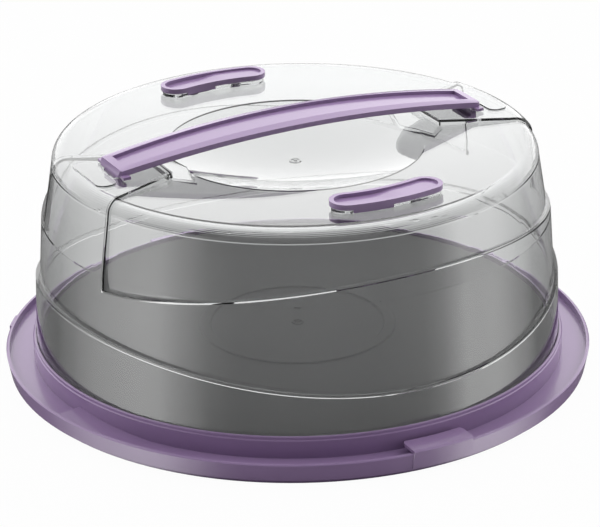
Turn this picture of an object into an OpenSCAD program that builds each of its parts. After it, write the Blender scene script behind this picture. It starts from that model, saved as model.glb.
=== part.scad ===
// Round cake carrier: a shallow tray with a serving plate let into it, and a clear
// lift-off dome that carries an arched strap handle and two sliding vent covers.
// X runs along the handle, Y through the two caps, Z up from the table.
// The origin is the centre of the tray's underside.

/* [Tray] */
// Outer diameter of the tray at the top of its rim
tray_d = 340; // [330:1:360]
// Height of the rim's outer wall
rim_h = 10.2; // [8:0.2:14]
// How much the rim's outer wall leans in towards its bottom edge
rim_draft = 1.8; // [0.5:0.1:2.5]
// Wall thickness of the tray
tray_t = 1.8; // [1.4:0.1:2.4]
// Height of the foot ring below the rim's bottom edge
foot_h = 3.3; // [2:0.1:6]
// How far the foot ring stands in from the rim's bottom edge
foot_inset = 4; // [2:0.5:8]
// Depth of the channel below the top of the rim
channel_depth = 4; // [2.5:0.1:5]
// Width of the channel between the rim's outer edge and the upstanding ring
channel_w = 16.4; // [15:0.1:20]
// Height of that ring above the top of the rim
ring_h = 8.5; // [7:0.1:12]
// Thickness of the thin lip at the top of the ring
ring_lip_t = 1.2; // [0.8:0.1:1.4]
// Depth of the seat that the dome's bottom edge stands on, below the ring's top
seat_depth = 2; // [1.5:0.1:3]
// Width of that seat
seat_w = 2.8; // [2.6:0.1:3.6]
// Number of stiffening ribs under the tray
rib_n = 12; // [6:1:24]
// Depth of those ribs
rib_h = 4; // [2:0.5:8]
// Radius of the stiffening ring that joins them
rib_ring_r = 60; // [40:1:100]

/* [Ramps and tabs] */
// Angle from the front to the high end of a ramp
ramp_high_a = 79; // [76:1:82]
// Angle from the front to the low end of a ramp
ramp_low_a = 98; // [94:1:104]
// Height that a ramp climbs above the channel's floor
ramp_h = 4; // [2:0.1:4.5]
// Length of the tab that bridges the channel, along the rim
tab_w = 37; // [20:1:50]
// Thickness of the tab
tab_t = 1.8; // [1.4:0.1:2.4]
// Height of the tab's top above the rim's top
tab_rise = 1.8; // [1:0.1:3]
// Radius of the tab's corners
tab_corner_r = 4; // [2:0.5:6]
// Gap between the tab's inner edge and the ring
tab_gap = 2.4; // [1.5:0.1:4]
// How far the tab's outer face stands out from the rim
tab_proud = 0.8; // [0.4:0.1:1.5]
// Angle from the front to the small lug on the rim's outside
lug_a = 125.5; // [110:0.5:150]
// Length of that lug along the rim
lug_w = 15; // [8:1:24]

/* [Serving plate] */
// Thickness of the serving plate
plate_t = 2.6; // [2:0.1:3.4]
// Radius of the raised ring in the middle of the plate
plate_ring_r = 54; // [40:1:80]
// Width of that raised ring
plate_ring_w = 6; // [3:0.5:10]
// Height of that raised ring
plate_ring_h = 0.8; // [0.4:0.1:1.5]

/* [Dome] */
// Wall thickness of the clear dome
dome_t = 2.2; // [1.6:0.1:2.4]
// Gap between the dome's bottom edge and the lip of the ring around it
dome_gap = 0.3; // [0.25:0.05:0.8]
// Height of the dome's top at its shoulder, above the rim's top
top_h = 121; // [117:1:128]
// How much lower the top is at the dish's edge than at the shoulder
top_fall = 2.8; // [1:0.1:4]
// Height of the skirt's upper edge above the rim's top, at the front and back
skirt_low_h = 28.4; // [24:0.2:34]
// How much higher the skirt's edge is at the two ends of the handle's line
skirt_wave_h = 19.5; // [10:0.1:26]
// How far the skirt stands out from the wall above it
skirt_step = 1.9; // [1:0.1:2.5]
// Height of the highest point of the side panel's lower edge above the rim's top
arch_h = 92.8; // [88:0.1:96]
// Radius of that curved edge
arch_r = 600; // [500:10:900]
// How far along the handle's line that highest point lies from the middle
arch_shift = 15; // [0:1:30]
// Radius of the rounded shoulder on the side panels
shoulder_r = 8; // [6:0.5:10]
// How far the band under the handle stands above the shoulder
band_rise = 1.4; // [0.8:0.1:2]
// Distance from the edge of the dish to the band's inner end
band_in = 11.1; // [8:0.1:16]
// Half width of the band at its inner end
band_half_w = 17; // [15:0.5:24]
// How much the band's half width grows for each millimetre outwards
band_flare = 0.45; // [0.3:0.01:0.5]
// Width of the top between the shoulder and the edge of the dish
top_w = 56.9; // [54:0.1:60]
// Depth of the dish's centre below its edge
dish_depth = 10.7; // [8:0.1:12]
// How steeply the facet at the band's inner end falls towards the dish
facet_slope = 8; // [7:0.5:10]
// How far the pads outside the handle's ends stand above the band
pad_rise = 0.8; // [0.4:0.1:1.2]

/* [Handle] */
// Distance from each end of the handle to the shoulder
handle_in = 15.1; // [13:0.1:19]
// Width of the handle in its middle
handle_w = 32.7; // [28:0.1:34]
// Radius of the two long sides, which draw together towards the ends
handle_side_r = 2300; // [1800:50:4000]
// Height of the arch, from the top of an end to the top of the middle
handle_arch = 9.6; // [6:0.2:16]
// Thickness of the strap at the crests of its rims
strap_t = 3.9; // [3.4:0.1:5]
// Depth of the pocket along the strap's top
strap_groove = 1.9; // [0.8:0.1:2.2]
// Width of the rims on both sides of the pocket
strap_rim = 5.5; // [4:0.1:7]
// How much the rims fall from crest to side
rim_fall = 1.1; // [0.5:0.1:1.5]
// Length of the solid end beyond the pocket
end_l = 5.8; // [4:0.1:8]
// Gap between the handle's ends and the band
end_gap = 0.6; // [0.5:0.1:1.5]
// Height of the two ends at their crests
end_h = 4.3; // [4:0.1:6]
// How far the handle can be pulled up before its toes stop it
handle_lift = 4; // [2:0.5:6]
// Gap between the handle's legs and the slots that they slide in
handle_gap = 0.4; // [0.3:0.05:0.8]

/* [Caps] */
// Distance from the arc that a cap's middle line follows to the shoulder
cap_in = 21.8; // [18:0.1:26]
// Angle from a cap's middle to the centre of each of its round ends
cap_a = 12.9; // [9:0.1:15]
// Width of a cap
cap_w = 19; // [16:0.5:21]
// Thickness of a cap at its rim
cap_t = 3; // [2.6:0.1:4]
// Width of a cap's raised rim
cap_rim = 2.6; // [1.6:0.1:3.5]
// Depth of the deep half of a cap's hollow
cap_deep = 2.1; // [1:0.1:2.3]
// Depth of the shallow half of a cap's hollow
cap_shallow = 1.2; // [0.4:0.1:1.4]
// Height of the clear boss under a cap, above the top beside it
boss_h = 1.8; // [1.5:0.1:4]
// How far a boss stands in from the cap's edge
boss_inset = 1; // [0.8:0.1:2]
// Dark gap between a boss and its cap
cap_gap = 0.8; // [0.4:0.1:1.5]
// Angle from a cap's middle to the near end of its skirts
guide_a1 = 1; // [0:0.5:4]
// Angle from a cap's middle to the far end of its skirts
guide_a2 = 12.2; // [8:0.1:12.5]
// Angle that a cap turns to open its vent holes
cap_turn = 4.2; // [3:0.1:4.5]
// Diameter of the two feet that hold a cap on its boss
pin_d = 5; // [4:0.5:6]
// Angle from a cap's middle to each foot
pin_a = 7.5; // [6:0.5:8]
// Gap between a foot and the slot it slides in
pin_gap = 0.3; // [0.2:0.05:0.5]
// Diameter of the vent holes
vent_d = 3; // [2:0.5:4]

/* [Hidden] */
$fn = 96;
lilac = [0.70, 0.61, 0.74];
grey = [0.42, 0.42, 0.42];
clear = [0.86, 0.88, 0.89, 0.35];
over = 1;
// Round ends are this much narrower than their bar, so that no two faces are tangent
seam = 0.1;
far = 400;

// Heights of the tray
rim_low = foot_h;
rim_z = foot_h + rim_h;
floor_z = rim_z - channel_depth;
ring_z = rim_z + ring_h;
seat_z = ring_z - seat_depth;
// Radii of the tray
tray_r = tray_d / 2;
rim_low_r = tray_r - rim_draft;
ring_r = tray_r - channel_w;
ring_foot_r = ring_r + 0.5;
lip_in_r = ring_r - ring_lip_t;
pocket_r = lip_in_r - seat_w;
foot_r = rim_low_r - foot_inset;
// The serving plate lies in a pocket and stands just proud of the seat
plate_proud = 0.4;
plate_gap = 0.3;
plate_top = seat_z + plate_proud;
deck_z = plate_top - plate_t;
plate_r = pocket_r - plate_gap;
rib_low = deck_z - tray_t - rib_h;
// Gate marks in the middle of the moulded faces
gate_d = 7;
gate_h = 0.5;

// Heights and radii of the dome, from the seat up
dome_low = seat_z;
dome_r = lip_in_r - dome_gap;
top_z = rim_z + top_h;
band_z = top_z + band_rise;
skirt_lean = 0.035;
wall_lean = 0.068;
panel_lean = 0.1625;
wave_r = pow(dome_r, 2) / (2 * skirt_wave_h);
wave_z = rim_z + skirt_low_h;
arch_z = rim_z + arch_h;
// Radius of the plain wall where the skirt's edge is lowest
wall_r0 = dome_r - skirt_lean * (wave_z - dome_low) - skirt_step;
// Radius of the recessed side panel at the height of the arch's ends
panel_step = 2;
panel_h = arch_h - 12.8;
panel_z0 = rim_z + panel_h;
panel_r0 = wall_r0 - wall_lean * (panel_z0 - wave_z) - panel_step;
shoulder_z = top_z - shoulder_r;
shoulder_cr = panel_r0 - panel_lean * (shoulder_z - panel_z0) - shoulder_r;
// The band's shoulder is the panel's shoulder, larger by the band's rise
band_shoulder_r = shoulder_r + band_rise;
arc_steps = 12;
dish_r = shoulder_cr - top_w;
band_x = dish_r + band_in;
handle_l = 2 * (shoulder_cr - handle_in);
cap_r = shoulder_cr - cap_in;
// The top is a shallow cone that falls from the shoulder to the dish's edge
dish_z = top_z - top_fall;
function cone_z(r) = dish_z + top_fall * (r - dish_r) / (shoulder_cr - dish_r);
// The sphere that hollows the dish
dish_sphere_r = (pow(dish_r, 2) + pow(dish_depth, 2)) / (2 * dish_depth);
dish_sphere_z = dish_z - dish_depth + dish_sphere_r;
// The facet's inner corners, on the dish's edge and outside it
facet_in_x = dish_r - 5.2;
facet_side_x = dish_r + 1.8;
facet_side_y = band_half_w + 9;
// The pads lie between the handle's ends and the shoulder
pad_x0 = handle_l / 2 + 3;
pad_x1 = shoulder_cr - 0.3;
pad_half_w = 20;
pad_corner_r = 5;

// Handle
end_x = handle_l / 2;
end_low = band_z + end_gap;
end_top = end_low + end_h;
mid_top = end_top + handle_arch;
handle_end_w = handle_w - pow(handle_l / 2, 2) / handle_side_r;
end_lean = 1.3;
end_corner = 2;
arc_half = end_x - end_lean;
strap_r = (pow(arc_half, 2) + pow(handle_arch, 2)) / (2 * handle_arch);
strap_a = asin((end_x + 1) / strap_r);
leg_t = 3;
leg_w = 18;
leg_x = end_x - 2.5;
leg_play = 2;
toe_l = 2.4;
toe_h = 2;
leg_low = band_z - dome_t - handle_lift - handle_gap - toe_h;
lug_out = 4;
lug_h = 1.6;
lug_l = 4.5;

// Caps
boss_z = cone_z(cap_r) + boss_h;
cap_gap_side = 0.3;
cap_z = boss_z + cap_gap;
cap_top = cap_z + cap_t;
guide_low = cone_z(cap_r + cap_w / 2) + 0.3;
guide_t = boss_inset - cap_gap_side;
pin_top = boss_z - dome_t - pin_gap;
slot_w = pin_d + 2 * pin_gap;
boss_low = cone_z(cap_r) - 2 * dome_t;
pin_head_d = pin_d + 3;
pin_head_h = 1.4;
vent_a = 12.4;

// A ring or disc turned from an outline
module turned(points) {
    rotate_extrude($fn = 180)
        polygon(points);
}

// A bar with round ends that is bent about the Z axis, from one angle to another.
// Angles count from the front and grow towards +X.
module bent_bar(r, a0, a1, w, z, h) {
    union() {
        for (a = [a0, a1])
            rotate([0, 0, a - 90])
                translate([r, 0, z])
                    cylinder(d = w - seam, h = h);
        bent_block(r - w / 2, a0, a1, w, z, h);
    }
}

// The same without its round ends
module bent_block(r, a0, a1, w, z, h) {
    rotate([0, 0, a0 - 90])
        rotate_extrude(angle = a1 - a0, $fn = 360)
            translate([r, z])
                square([w, h]);
}

// A block with round upright corners, centred on the origin in X and Y
module round_block(l, w, h, r) {
    union() {
        for (sx = [-1, 1], sy = [-1, 1])
            translate([sx * (l / 2 - r), sy * (w / 2 - r), 0])
                cylinder(r = r, h = h);
        translate([-l / 2 + r, -w / 2, 0])
            cube([l - 2 * r, w, h]);
        translate([-l / 2, -w / 2 + r, 0])
            cube([l, w - 2 * r, h]);
    }
}

// The tray's turned body: rim, channel, ring, seat, pocket and deck
module tray_body() {
    turned([
        [0, deck_z - tray_t], [pocket_r - tray_t, deck_z - tray_t],
        [ring_foot_r - tray_t, deck_z - tray_t - 2], [ring_foot_r - tray_t, floor_z - tray_t],
        [foot_r - tray_t, floor_z - tray_t], [foot_r - tray_t, 0], [foot_r, 0],
        [foot_r, floor_z - tray_t], [rim_low_r - tray_t, floor_z - tray_t],
        [rim_low_r - tray_t, rim_low], [rim_low_r, rim_low], [tray_r, rim_z - 0.6],
        [tray_r - 0.6, rim_z], [tray_r - tray_t, rim_z], [tray_r - tray_t - 0.3, floor_z],
        [ring_foot_r, floor_z], [ring_foot_r, ring_z - 2.4], [ring_r, ring_z - 1.8],
        [ring_r, ring_z - 0.4], [ring_r - 0.4, ring_z], [lip_in_r, ring_z],
        [lip_in_r, seat_z], [pocket_r, seat_z], [pocket_r, deck_z], [0, deck_z]
    ]);
}

// A ramp that fills the channel and climbs to an upright step
module ramp(a_high, a_low) {
    mid_r = (ring_foot_r + tray_r) / 2;
    run = mid_r * sin(a_low - a_high);
    tilt = atan(ramp_h / run);
    intersection() {
        turned([[ring_foot_r - 0.4, floor_z - tray_t / 2], [tray_r - tray_t, floor_z - tray_t / 2],
            [tray_r - tray_t, floor_z + ramp_h], [ring_foot_r - 0.4, floor_z + ramp_h]]);
        // The high end's radius is the local Y axis here, and the ramp falls along local X
        rotate([0, 0, -90 - a_high])
            translate([0, 0, floor_z + ramp_h])
                rotate([-tilt, 0, 0])
                    translate([0, 0, -20])
                        cube([tray_r + over, run + over, 20]);
    }
}

// The tab that bridges the channel, open beneath, with a solid outer face
module bridge_tab() {
    in_r = ring_foot_r + tab_gap;
    out_r = tray_r + tab_proud;
    depth = out_r - in_r;
    top = rim_z + tab_rise;
    difference() {
        intersection() {
            translate([0, -(in_r + out_r) / 2, rim_low + 1])
                round_block(tab_w, depth + 2, top - rim_low - 1, tab_corner_r);
            turned([[in_r, rim_low + 1], [out_r - rim_draft, rim_low + 1], [out_r, top - 0.8],
                [out_r - 0.8, top], [in_r + 0.6, top], [in_r, top - 0.6]]);
        }
        // The space under the tab, which leaves it a thin shell
        turned([[in_r - over, floor_z - tray_t / 2], [tray_r - tray_t - 0.2, floor_z - tray_t / 2],
            [tray_r - tray_t - 0.2, top - tab_t], [in_r - over, top - tab_t]]);
        // The rim's own wall stays whole, so nothing is added inside it
        turned([[in_r - over, rim_low - over], [rim_low_r - tray_t, rim_low - over],
            [rim_low_r - tray_t, floor_z - tray_t / 2], [in_r - over, floor_z - tray_t / 2]]);
    }
}

module base_tray() {
    color(lilac)
    union() {
        tray_body();
        for (turn = [0, 180])
            rotate([0, 0, turn]) {
                ramp(ramp_high_a, ramp_low_a);
                bridge_tab();
            }
        // The small lug on the outside of the rim, at the back left
        rotate([0, 0, -lug_a])
            intersection() {
                translate([-lug_w / 2, -tray_r - 3, rim_low + 2])
                    cube([lug_w, 6, rim_h - 3]);
                turned([[tray_r - tray_t, rim_low], [tray_r + 1.2, rim_low],
                    [tray_r + 1.2, rim_z], [tray_r - tray_t, rim_z]]);
            }
        // Stiffening ribs and a ring that joins them, under the deck
        intersection() {
            union() {
                for (i = [0:rib_n - 1])
                    rotate([0, 0, i * 360 / rib_n])
                        translate([-tray_t / 2, rib_ring_r - tray_t / 2, rib_low])
                            cube([tray_t, tray_r, rib_h + tray_t / 2]);
                turned([[rib_ring_r - tray_t, rib_low], [rib_ring_r, rib_low],
                    [rib_ring_r, rib_low + rib_h + tray_t / 2], [rib_ring_r - tray_t, rib_low + rib_h + tray_t / 2]]);
            }
            cylinder(r = ring_foot_r - tray_t / 2, h = ring_z);
        }
    }
}

module serving_plate() {
    color(grey)
    union() {
        turned([[0, deck_z], [plate_r - 0.5, deck_z], [plate_r, deck_z + 0.5], [plate_r, plate_top - 0.5],
            [plate_r - 0.5, plate_top], [plate_ring_r + plate_ring_w / 2 + plate_ring_h, plate_top],
            [plate_ring_r + plate_ring_w / 2, plate_top + plate_ring_h],
            [plate_ring_r - plate_ring_w / 2, plate_top + plate_ring_h],
            [plate_ring_r - plate_ring_w / 2 - plate_ring_h, plate_top], [0, plate_top]]);
        gate_mark(plate_top);
    }
}

// A low ring with a dot, left where the plastic entered the mould
module gate_mark(z) {
    translate([0, 0, z - gate_h])
        difference() {
            cylinder(d = gate_d, h = 2 * gate_h);
            translate([0, 0, gate_h])
                cylinder(d = gate_d - 2, h = 2 * gate_h);
        }
    translate([0, 0, z - gate_h])
        cylinder(d = 2, h = 2 * gate_h);
}

// Points on a round shoulder, from the side up to the top
function shoulder(cr, cz, r) = [for (i = [0:arc_steps]) [cr + r * cos(90 * i / arc_steps), cz + r * sin(90 * i / arc_steps)]];

// The dome's form with every face moved in by inset, open at the bottom if low is lower
module dome_form(inset, low) {
    // The recessed panels with their shoulder and flat top
    turned(concat([[0, low], [panel_r0 - inset - 1, low], [panel_r0 - inset, panel_z0]],
        shoulder(shoulder_cr, shoulder_z, shoulder_r - inset),
        [[dish_r, dish_z - inset], [0, dish_z - inset]]));
    // The plain wall below the arches, and the band over the top
    intersection() {
        turned(concat([[0, low], [wall_r0 + wall_lean * (wave_z - low) - inset, low],
            [wall_r0 - wall_lean * (panel_z0 - wave_z) - inset, panel_z0]],
            shoulder(shoulder_cr, shoulder_z, band_shoulder_r - inset), [[0, band_z - inset]]));
        union() {
            for (turn = [0, 180])
                rotate([0, 0, turn]) {
                    // Below the arched edge of one side panel
                    translate([arch_shift, 0, arch_z - inset - arch_r])
                        rotate([90, 0, 0])
                            cylinder(r = arch_r, h = dome_r + over, $fn = 720);
                    // One half of the band and the pillar below it
                    translate([0, 0, low - over])
                        linear_extrude(height = far)
                            polygon([[band_x + inset, -band_half_w + inset],
                                [dome_r + over, -band_half_w - band_flare * (dome_r + over - band_x) + inset],
                                [dome_r + over, band_half_w + band_flare * (dome_r + over - band_x) - inset],
                                [band_x + inset, band_half_w - inset]]);
                }
        }
    }
    // The skirt, whose upper edge is a shallow curve
    difference() {
        turned([[0, low], [dome_r - inset + skirt_lean * (dome_low - low), low],
            [dome_r - inset - skirt_lean * (wave_z + skirt_wave_h + 4 - dome_low), wave_z + skirt_wave_h + 4],
            [0, wave_z + skirt_wave_h + 4]]);
        translate([0, dome_r + over, wave_z + wave_r - inset])
            rotate([90, 0, 0])
                cylinder(r = wave_r, h = 2 * (dome_r + over), $fn = 720);
    }
}

// What is hollowed out of the top: the dish and the facets at the band's inner ends
module top_hollow(grow) {
    intersection() {
        translate([0, 0, dish_sphere_z])
            sphere(r = dish_sphere_r + grow, $fn = 360);
        translate([0, 0, dish_z - dish_depth - grow - over])
            cylinder(r = dish_sphere_r, h = dish_depth + grow + 2 * over);
    }
    for (turn = [0, 180])
        rotate([0, 0, turn])
            intersection() {
                // Its plan runs from the band's end to the dish's edge
                translate([0, 0, dish_z - dish_depth])
                    linear_extrude(height = far)
                        polygon([[band_x + grow, -band_half_w - grow], [band_x + grow, band_half_w + grow],
                            [facet_side_x, facet_side_y + grow], [facet_in_x - grow, 0],
                            [facet_side_x, -facet_side_y - grow]]);
                translate([band_x, -far / 2, cone_z(band_x) - grow])
                    rotate([0, -facet_slope, 0])
                        translate([-far / 2, 0, 0])
                            cube([far, far, far]);
            }
}

// The slightly raised pad at each end of the band, outside the handle
module end_pad() {
    translate([(pad_x0 + pad_x1) / 2, 0, band_z - dome_t / 2])
        round_block(pad_x1 - pad_x0, 2 * pad_half_w, dome_t / 2 + pad_rise, pad_corner_r);
}

// A clear boss on the top, hollow below, with slots for a cap's feet and a vent hole
module boss(grow, low) {
    bent_bar(cap_r, -cap_a, cap_a, cap_w - 2 * boss_inset - 2 * grow, low, boss_z - grow - low);
}

module dome_cover() {
    color(clear)
    difference() {
        union() {
            difference() {
                dome_form(0, dome_low);
                top_hollow(0);
            }
            for (side = [0, 1])
                mirror([0, side, 0])
                    boss(0, cone_z(cap_r) - dome_t);
            for (turn = [0, 180])
                rotate([0, 0, turn])
                    end_pad();
            gate_mark(dish_z - dish_depth);
        }
        difference() {
            dome_form(dome_t, dome_low - over);
            top_hollow(dome_t);
        }
        for (side = [0, 1])
            mirror([0, side, 0]) {
                boss(dome_t, boss_low);
                for (a = [-pin_a, pin_a])
                    bent_bar(cap_r, a, a + cap_turn, slot_w, boss_low, far);
                rotate([0, 0, -vent_a - 90])
                    translate([cap_r, 0, boss_low])
                        cylinder(d = vent_d, h = far);
            }
        // Slots for the handle's legs, a little longer outwards for clipping them in
        for (turn = [0, 180])
            rotate([0, 0, turn])
                translate([leg_x - leg_t / 2 - handle_gap, -leg_w / 2 - handle_gap, band_z - dome_t - over])
                    cube([leg_t + 2 * handle_gap + leg_play, leg_w + 2 * handle_gap, far]);
    }
}

// The handle's outline from above, with its sides and ends moved in
module handle_plan(in_side, in_end, z, h) {
    intersection() {
        translate([0, handle_side_r - handle_w / 2 + in_side, z])
            cylinder(r = handle_side_r, h = h, $fn = 1440);
        translate([0, -handle_side_r + handle_w / 2 - in_side, z])
            cylinder(r = handle_side_r, h = h, $fn = 1440);
        translate([-end_x + in_end, -handle_w, z])
            cube([handle_l - 2 * in_end, 2 * handle_w, h]);
    }
}

// What is taken off the four upright corners of the handle
module end_corners() {
    for (sx = [-1, 1], sy = [-1, 1])
        translate([sx * end_x, sy * handle_end_w / 2, 0])
            rotate([0, 0, 45])
                cube([end_corner * sqrt(2), end_corner * sqrt(2), far], center = true);
}

// A band swept along the strap's arch, between two heights below the crests
module arched(points) {
    translate([0, 0, mid_top - strap_r])
        rotate([90, 0, 0])
            rotate([0, 0, 90 - strap_a])
                rotate_extrude(angle = 2 * strap_a, $fn = 720)
                    translate([strap_r, 0])
                        rotate([0, 0, -90])
                            polygon(points);
}

module handle() {
    half = handle_w / 2;
    color(lilac)
    union() {
        difference() {
            intersection() {
                union() {
                    // The arched strap, whose rims slope down to its sides
                    arched([[-half, -strap_t], [half, -strap_t], [half, -rim_fall],
                        [half - strap_rim, 0], [-half + strap_rim, 0], [-half, -rim_fall]]);
                    // The solid ends
                    for (s = [-1, 1])
                        translate([s * (end_x - end_l / 2) - end_l / 2, -half, end_low])
                            cube([end_l, handle_w, end_h - strap_t / 2]);
                }
                handle_plan(0, 0, end_low, far);
            }
            // The pocket along the top, closed at both ends
            intersection() {
                arched([[-half, -strap_groove], [half, -strap_groove], [half, over], [-half, over]]);
                handle_plan(strap_rim, end_l, end_low, far);
            }
            end_corners();
            // The ends' outer faces lean in towards the top
            for (turn = [0, 180])
                rotate([0, 0, turn])
                    translate([end_x, -half, end_low])
                        rotate([0, -atan(end_lean / end_h), 0])
                            cube([end_l, handle_w, 2 * end_h]);
        }
        for (turn = [0, 180])
            rotate([0, 0, turn])
                handle_foot();
    }
}

// Below one end: a leg with a toe that holds it in its slot, and a lug at each side
module handle_foot() {
    translate([leg_x - leg_t / 2, -leg_w / 2, leg_low])
        cube([leg_t, leg_w, end_low - leg_low + over]);
    translate([leg_x - leg_t / 2 - toe_l, -leg_w / 2, leg_low])
        cube([leg_t + toe_l, leg_w, toe_h]);
    translate([end_x - lug_l - 1, -handle_end_w / 2 - lug_out, end_low])
        cube([lug_l, handle_end_w + 2 * lug_out, lug_h]);
}

// The hollow of a cap: one half deep, the other shallow, joined by an S-shaped slope
module cap_hollow() {
    rise = cap_deep - cap_shallow;
    slope_l = 16;
    half_l = cap_r * sin(cap_a) + cap_w;
    steps = 12;
    intersection() {
        bent_bar(cap_r, -cap_a, cap_a, cap_w - 2 * cap_rim, cap_z, cap_t + over);
        rotate([90, 0, 0])
            linear_extrude(height = cap_r + cap_w)
                polygon(concat([[-half_l, cap_top + over], [-half_l, cap_top - cap_deep]],
                    [for (i = [0:steps]) [-slope_l / 2 + slope_l * i / steps,
                        cap_top - cap_deep + rise * (1 - cos(180 * i / steps)) / 2]],
                    [[half_l, cap_top - cap_shallow], [half_l, cap_top + over]]));
    }
}

module cap() {
    color(lilac)
    union() {
        difference() {
            bent_bar(cap_r, -cap_a, cap_a, cap_w, cap_z, cap_t);
            cap_hollow();
        }
        // Two skirts on the left half that guide it along its boss
        for (side = [-1, 1])
            bent_block(cap_r + side * (cap_w - guide_t - seam) / 2 - guide_t / 2, -guide_a2, -guide_a1,
                guide_t, guide_low, cap_z + 1 - guide_low);
        // Two feet with heads that hold it down
        for (a = [-pin_a, pin_a])
            rotate([0, 0, a - 90])
                translate([cap_r, 0, pin_top]) {
                    cylinder(d = pin_d, h = cap_z + 0.5 - pin_top);
                    translate([0, 0, -pin_head_h])
                        cylinder(d = pin_head_d, h = pin_head_h);
                }
    }
}

module front_cap() {
    cap();
}

module rear_cap() {
    mirror([0, 1, 0])
        cap();
}

base_tray();
serving_plate();
dome_cover();
handle();
front_cap();
rear_cap();
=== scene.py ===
# %% [markdown]
# # A cake carrier in lilac and clear plastic
# The carrier is six mouldings: a lilac tray, a grey serving plate let into it, a clear dome that
# stands in the tray, an arched strap handle, and two vent covers on top. Their shapes and sizes come
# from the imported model, so this lesson is about finish: how moulded plastic is made to look moulded,
# and how clear plastic is lit so that its edges can be seen.

# %% Load the model
from math import cos, pi, radians, sin
import bpy
from mathutils import Matrix, Vector

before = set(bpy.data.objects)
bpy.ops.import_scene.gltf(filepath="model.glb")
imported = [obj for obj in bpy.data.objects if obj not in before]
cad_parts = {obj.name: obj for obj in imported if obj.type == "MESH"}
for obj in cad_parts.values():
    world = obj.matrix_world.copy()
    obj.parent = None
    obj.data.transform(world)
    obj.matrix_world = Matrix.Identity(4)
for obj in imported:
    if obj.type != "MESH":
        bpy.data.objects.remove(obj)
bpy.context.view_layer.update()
MM = 0.001

# %% [markdown]
# ## Small helpers
# Real colours are noted as hex values, as on a paint card. Blender mixes light in linear numbers, so
# one function turns hex to linear. A second one adds a shader node with its settings and links, which
# keeps each material short enough to read in one go.


# %% Colour and node helpers
def linear(hex_colour):
    """A colour such as A289AE as linear red, green, blue and alpha."""
    channels = [int(hex_colour[i:i + 2], 16) / 255 for i in (0, 2, 4)]
    return [c / 12.92 if c <= 0.04045 else ((c + 0.055) / 1.055) ** 2.4 for c in channels] + [1.0]


def add_node(tree, kind, inputs=None, **settings):
    """Adds a node. An input is given a value, or the output socket that feeds it."""
    node = tree.nodes.new(kind)
    for name, value in settings.items():
        setattr(node, name, value)
    for name, value in (inputs or {}).items():
        if isinstance(value, bpy.types.NodeSocket):
            tree.links.new(value, node.inputs[name])
        else:
            node.inputs[name].default_value = value
    return node


def new_material(name):
    """An empty material, and its node tree with an output."""
    material = bpy.data.materials.new(name)
    material.use_nodes = True
    material.node_tree.nodes.clear()
    return material, material.node_tree


print("lilac, linear:", [round(c, 3) for c in linear("A289AE")])

# %% [markdown]
# ## Lilac polypropylene
# The tray, the strap and the vent covers are injection moulded from coloured polypropylene. A polished
# mould gives it a close, even gloss. The pigment isn't perfectly mixed, so the colour drifts by a
# few percent over a hand's width.


# %% Lilac polypropylene
def lilac_polypropylene():
    material, tree = new_material("lilac_polypropylene")
    drift_mm = 90
    grain_mm = 0.9
    place = add_node(tree, "ShaderNodeTexCoord").outputs["Object"]
    drift = add_node(tree, "ShaderNodeTexNoise", {
        "Vector": place, "Scale": 1 / (drift_mm * MM), "Detail": 2.0})
    colour = add_node(tree, "ShaderNodeMix", {
        "Factor": drift.outputs["Fac"], "A": linear("8B739A"), "B": linear("957CA3")}, data_type="RGBA")
    grain = add_node(tree, "ShaderNodeTexNoise", {
        "Vector": place, "Scale": 1 / (grain_mm * MM), "Detail": 3.0})
    gloss = add_node(tree, "ShaderNodeMapRange", {
        "Value": grain.outputs["Fac"], "To Min": 0.14, "To Max": 0.22})
    fine = add_node(tree, "ShaderNodeBump", {
        "Height": grain.outputs["Fac"], "Strength": 0.05, "Distance": 0.01 * MM})
    skin = add_node(tree, "ShaderNodeBsdfPrincipled", {
        "Base Color": colour.outputs["Result"], "Roughness": gloss.outputs["Result"], "IOR": 1.49,
        "Normal": fine.outputs["Normal"]})
    add_node(tree, "ShaderNodeOutputMaterial", {"Surface": skin.outputs["BSDF"]})
    return material


lilac = lilac_polypropylene()
print("made", lilac.name)

# %% [markdown]
# ## Grey polypropylene
# The serving plate is the same plastic in mid grey, but its mould was spark-eroded, which leaves a fine
# matt grain that hides the marks of a cake knife. The grain is drawn a little coarser than it is, so
# that it still shows at this size.


# %% Grey polypropylene
def grey_polypropylene():
    material, tree = new_material("grey_polypropylene")
    grain_mm = 0.8
    wear_mm = 40
    place = add_node(tree, "ShaderNodeTexCoord").outputs["Object"]
    wear = add_node(tree, "ShaderNodeTexNoise", {"Vector": place, "Scale": 1 / (wear_mm * MM), "Detail": 3.0})
    colour = add_node(tree, "ShaderNodeMix", {
        "Factor": wear.outputs["Fac"], "A": linear("5F5F5F"), "B": linear("656565")}, data_type="RGBA")
    matt = add_node(tree, "ShaderNodeMapRange", {
        "Value": wear.outputs["Fac"], "To Min": 0.5, "To Max": 0.6})
    grain = add_node(tree, "ShaderNodeTexNoise", {
        "Vector": place, "Scale": 1 / (grain_mm * MM), "Detail": 2.0})
    bump = add_node(tree, "ShaderNodeBump", {
        "Height": grain.outputs["Fac"], "Strength": 0.02, "Distance": 0.02 * MM})
    skin = add_node(tree, "ShaderNodeBsdfPrincipled", {
        "Base Color": colour.outputs["Result"], "Roughness": matt.outputs["Result"], "IOR": 1.49,
        "Normal": bump.outputs["Normal"]})
    add_node(tree, "ShaderNodeOutputMaterial", {"Surface": skin.outputs["BSDF"]})
    return material


grey = grey_polypropylene()
print("made", grey.name)

# %% [markdown]
# ## Clear styrene plastic
# The dome is moulded from a clear styrene plastic. It is hard and bright, and it is given about the
# refractive index of window glass, a little below that of real styrene, which softens its dark edges.
# Its walls really have two faces in the model, so light bends as it goes in and again as it comes
# out. The plastic takes away a little light on its way through, so a wall seen edge on looks grey. A
# long, faint waviness in the faces stands for the flow of the melt in the mould.


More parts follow.
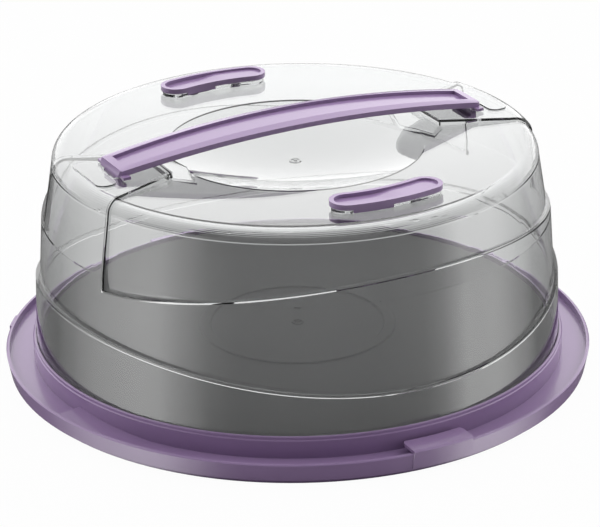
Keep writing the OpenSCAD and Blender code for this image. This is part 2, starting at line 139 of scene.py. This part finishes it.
# %% Clear styrene plastic
# How strongly the plastic dims light on its way through: seen edge on, a wall looks grey
SMOKE = 30


def clear_styrene():
    material, tree = new_material("clear_styrene")
    flow_mm = 45
    rub_mm = 12
    place = add_node(tree, "ShaderNodeTexCoord").outputs["Object"]
    flow = add_node(tree, "ShaderNodeTexNoise", {"Vector": place, "Scale": 1 / (flow_mm * MM), "Detail": 1.0})
    bump = add_node(tree, "ShaderNodeBump", {
        "Height": flow.outputs["Fac"], "Strength": 0.1, "Distance": 0.4 * MM})
    rub = add_node(tree, "ShaderNodeTexNoise", {"Vector": place, "Scale": 1 / (rub_mm * MM), "Detail": 4.0})
    gloss = add_node(tree, "ShaderNodeMapRange", {
        "Value": rub.outputs["Fac"], "From Min": 0.4, "From Max": 0.8, "To Min": 0.0, "To Max": 0.03})
    skin = add_node(tree, "ShaderNodeBsdfPrincipled", {
        "Base Color": linear("F7F8F8"), "Roughness": gloss.outputs["Result"], "IOR": 1.5,
        "Transmission Weight": 1.0, "Normal": bump.outputs["Normal"]})
    tint = add_node(tree, "ShaderNodeVolumeAbsorption", {"Color": linear("BCBCBC"), "Density": SMOKE})
    add_node(tree, "ShaderNodeOutputMaterial", {
        "Surface": skin.outputs["BSDF"], "Volume": tint.outputs["Volume"]})
    return material


clear = clear_styrene()
print("made", clear.name)

# %% [markdown]
# ## Dress the mouldings
# The model's own faces are exact, so each moulding keeps its mesh and only gets a finish. No moulded edge
# is razor sharp: a mould's corners always carry a small radius. The meshes come in with their faces
# split at sharp edges, so a Weld joins them again, and then a Bevel rounds every edge by a fraction of a
# millimetre. Weighted normals keep the wide faces evenly shaded beside those narrow ones. The clear
# dome is left as it is. That thin bright line along an edge tells the eye that the thing is moulded.

# %% Finishes and edge radii
FINISH = {
    "base_tray": (lilac, 0.3),
    "serving_plate": (grey, 0.3),
    "dome_cover": (clear, 0.0),
    "handle": (lilac, 0.5),
    "front_cap": (lilac, 0.35),
    "rear_cap": (lilac, 0.35),
}


def round_edges(moulding, radius):
    """Joins the split faces of a moulding and gives its sharp edges a small radius."""
    weld = moulding.modifiers.new("join_faces", "WELD")
    weld.merge_threshold = 0.001 * MM
    bevel = moulding.modifiers.new("edge_radius", "BEVEL")
    bevel.width = radius
    bevel.segments = 2
    bevel.limit_method = "ANGLE"
    bevel.angle_limit = radians(35)
    bevel.use_clamp_overlap = True
    shading = moulding.modifiers.new("even_shading", "WEIGHTED_NORMAL")
    shading.keep_sharp = True


for name, (finish, edge_mm) in FINISH.items():
    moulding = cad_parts[name]
    moulding.data.materials.clear()
    moulding.data.materials.append(finish)
    if edge_mm:
        round_edges(moulding, edge_mm * MM)
    print(name, "is", finish.name, "with edges of", edge_mm, "mm")

# %% [markdown]
# ## The camera
# The photographer stood a good way back with a long lens, a little above the table and to the left of
# the strap's ends. The camera circles a point on the carrier's axis, so its place is an angle round, an
# angle up and a distance, with a small tilt of the horizon.

# %% Camera
CAMERA_ROUND = radians(-27.32)
CAMERA_UP = radians(23.04)
CAMERA_TILT = radians(-0.77)
CAMERA_DISTANCE = 1582.4 * MM
CAMERA_AIM = Vector((1.68, -0.87, 57.22)) * MM
LENS_MM = 163.8


def place_camera():
    out = cos(CAMERA_UP)
    towards = Vector((sin(CAMERA_ROUND) * out, -cos(CAMERA_ROUND) * out, sin(CAMERA_UP)))
    camera = bpy.data.objects.new("camera", bpy.data.cameras.new("camera"))
    bpy.context.scene.collection.objects.link(camera)
    look = (-towards).to_track_quat("-Z", "Y").to_matrix().to_4x4()
    tilt = Matrix.Rotation(CAMERA_TILT, 4, "Z")
    camera.matrix_world = Matrix.Translation(CAMERA_AIM + towards * CAMERA_DISTANCE) @ look @ tilt
    camera.data.lens = LENS_MM
    camera.data.clip_end = 20
    bpy.context.scene.camera = camera
    return camera


camera = place_camera()
print("camera at", [round(v, 3) for v in camera.matrix_world.translation])

# %% [markdown]
# ## The studio
# Clear plastic has almost no colour of its own: it shows the room. So the room is drawn with care, as
# a world that depends only on direction. What the eye sees directly, or through the dome, is plain
# white. What shines on the plastic is a bright sweep behind and above, a tall light on each side,
# and a dark front, where the photographer stood.

# %% World
# The curve below runs from 0 to 1, and this is the strength at its top
ROOM_TOP = 5.0
# Strength by heading, in degrees from the front of the studio, where right is positive
LOW_ROOM = ((-180, 0.25), (-150, 0.1), (-128, 0.12), (-114, 0.8), (-95, 2.6), (-72, 4.4), (-62, 4.4),
            (-52, 2.8), (-38, 0.7), (-26, 0.1), (36, 0.1), (56, 0.5), (66, 1.6), (78, 4.2), (96, 3.4),
            (112, 1.4), (128, 0.15), (150, 0.1), (180, 0.25))
# Above eye level: the strength in front and behind, and the headings in radians between them
HIGH_FRONT = 0.25
HIGH_BACK = 2.1
HIGH_TURN = (0.8, 1.7)
# Upward part of a direction where the low room passes into the high one
HORIZON = (-0.02, 0.06)


def draw_curve(node, points):
    """Gives a Float Curve node these points, with straight runs between them."""
    curve = node.mapping.curves[0]
    while len(curve.points) < len(points):
        curve.points.new(0.5, 0.5)
    for knot, (x, y) in zip(curve.points, points):
        knot.location = (x, y)
        knot.handle_type = "VECTOR"
    node.mapping.update()


def studio_world():
    world = bpy.data.worlds.new("studio")
    bpy.context.scene.world = world
    world.use_nodes = True
    tree = world.node_tree
    tree.nodes.clear()
    front = (sin(CAMERA_ROUND), -cos(CAMERA_ROUND), 0.0)
    right = (cos(CAMERA_ROUND), sin(CAMERA_ROUND), 0.0)
    direction = add_node(tree, "ShaderNodeTexCoord").outputs["Generated"]
    parts = add_node(tree, "ShaderNodeSeparateXYZ", {"Vector": direction})
    facing = add_node(tree, "ShaderNodeVectorMath", {0: direction, 1: front}, operation="DOT_PRODUCT")
    across = add_node(tree, "ShaderNodeVectorMath", {0: direction, 1: right}, operation="DOT_PRODUCT")
    heading = add_node(tree, "ShaderNodeMath", {0: across.outputs["Value"], 1: facing.outputs["Value"]},
                       operation="ARCTAN2")
    around = add_node(tree, "ShaderNodeMapRange", {
        "Value": heading.outputs["Value"], "From Min": -pi, "From Max": pi})
    low = add_node(tree, "ShaderNodeFloatCurve", {"Value": around.outputs["Result"]})
    draw_curve(low, [((turn + 180) / 360, strength / ROOM_TOP) for turn, strength in LOW_ROOM])
    low_bright = add_node(tree, "ShaderNodeMath", {
        0: low.outputs["Value"], 1: ROOM_TOP}, operation="MULTIPLY")
    behind = add_node(tree, "ShaderNodeMath", {0: heading.outputs["Value"]}, operation="ABSOLUTE")
    high_bright = add_node(tree, "ShaderNodeMapRange", {
        "Value": behind.outputs["Value"], "From Min": HIGH_TURN[0], "From Max": HIGH_TURN[1],
        "To Min": HIGH_FRONT, "To Max": HIGH_BACK}, interpolation_type="SMOOTHSTEP")
    is_high = add_node(tree, "ShaderNodeMapRange", {
        "Value": parts.outputs["Z"], "From Min": HORIZON[0], "From Max": HORIZON[1]},
        interpolation_type="SMOOTHSTEP")
    room = add_node(tree, "ShaderNodeMix", {
        "Factor": is_high.outputs["Result"], "A": low_bright.outputs["Value"],
        "B": high_bright.outputs["Result"]}, data_type="FLOAT")
    rays = add_node(tree, "ShaderNodeLightPath")
    seen = add_node(tree, "ShaderNodeMath", {
        0: rays.outputs["Is Camera Ray"], 1: rays.outputs["Is Transmission Ray"]}, operation="MAXIMUM")
    strength = add_node(tree, "ShaderNodeMix", {
        "Factor": seen.outputs["Value"], "A": room.outputs["Result"], "B": 1.0}, data_type="FLOAT")
    sky = add_node(tree, "ShaderNodeBackground", {
        "Color": linear("FFFFFF"), "Strength": strength.outputs["Result"]})
    add_node(tree, "ShaderNodeOutputWorld", {"Surface": sky.outputs["Background"]})
    return world


world = studio_world()
print("made the world", world.name)

# %% [markdown]
# ## The floor
# The carrier stands on a pale table that runs into the background without an edge. To the eye it is
# white, and it keeps a little of the carrier's shadow, which seats the thing on it. Through the clear
# dome the table carries a painted shadow, drawn darker near the carrier, and it is hidden from shiny
# reflections.

# %% Floor
FLOOR_SIZE = 6.0
# Share of plain white in what the eye sees of the table; the rest is paper that takes the shadow
GLOW_SHARE = 0.97
# Distances in metres from the middle, where the painted shadow on the table seen through the dome goes from
# dark to white
SHADE_FROM = 0.2
SHADE_TO = 0.5
SHADE_DARK = 0.5


def pale_floor():
    half = FLOOR_SIZE / 2
    mesh = bpy.data.meshes.new("floor")
    corners = [(-half, -half, 0), (half, -half, 0), (half, half, 0), (-half, half, 0)]
    mesh.from_pydata(corners, [], [(0, 1, 2, 3)])
    floor = bpy.data.objects.new("floor", mesh)
    bpy.context.scene.collection.objects.link(floor)
    material, tree = new_material("pale_table")
    rays = add_node(tree, "ShaderNodeLightPath")
    place = add_node(tree, "ShaderNodeTexCoord").outputs["Object"]
    distance = add_node(tree, "ShaderNodeVectorMath", {0: place}, operation="LENGTH")
    # Painted shadow: for rays through the dome, the table's white glow is turned down near the carrier
    shade = add_node(tree, "ShaderNodeMapRange", {
        "Value": distance.outputs["Value"], "From Min": SHADE_FROM, "From Max": SHADE_TO,
        "To Min": SHADE_DARK, "To Max": 1.0}, interpolation_type="SMOOTHSTEP")
    level = add_node(tree, "ShaderNodeMix", {
        "Factor": rays.outputs["Is Transmission Ray"], "A": 1.0,
        "B": shade.outputs["Result"]}, data_type="FLOAT")
    seen = add_node(tree, "ShaderNodeMath", {
        0: rays.outputs["Is Camera Ray"], 1: rays.outputs["Is Transmission Ray"]}, operation="MAXIMUM")
    share = add_node(tree, "ShaderNodeMath", {0: seen.outputs["Value"], 1: GLOW_SHARE}, operation="MULTIPLY")
    paper = add_node(tree, "ShaderNodeBsdfDiffuse", {"Color": linear("C4C4C4")})
    white = add_node(tree, "ShaderNodeEmission", {
        "Color": linear("FFFFFF"), "Strength": level.outputs["Result"]})
    mixed = add_node(tree, "ShaderNodeMixShader", {
        "Fac": share.outputs["Value"], 1: paper.outputs["BSDF"], 2: white.outputs["Emission"]})
    add_node(tree, "ShaderNodeOutputMaterial", {"Surface": mixed.outputs["Shader"]})
    mesh.materials.append(material)
    floor.visible_glossy = False
    return floor


floor = pale_floor()
print("floor of", FLOOR_SIZE, "m")

# %% [markdown]
# ## Finish
# The view transform stays plain, so a colour renders as it was written.

# %% Settings
bpy.context.scene.view_settings.view_transform = "Standard"
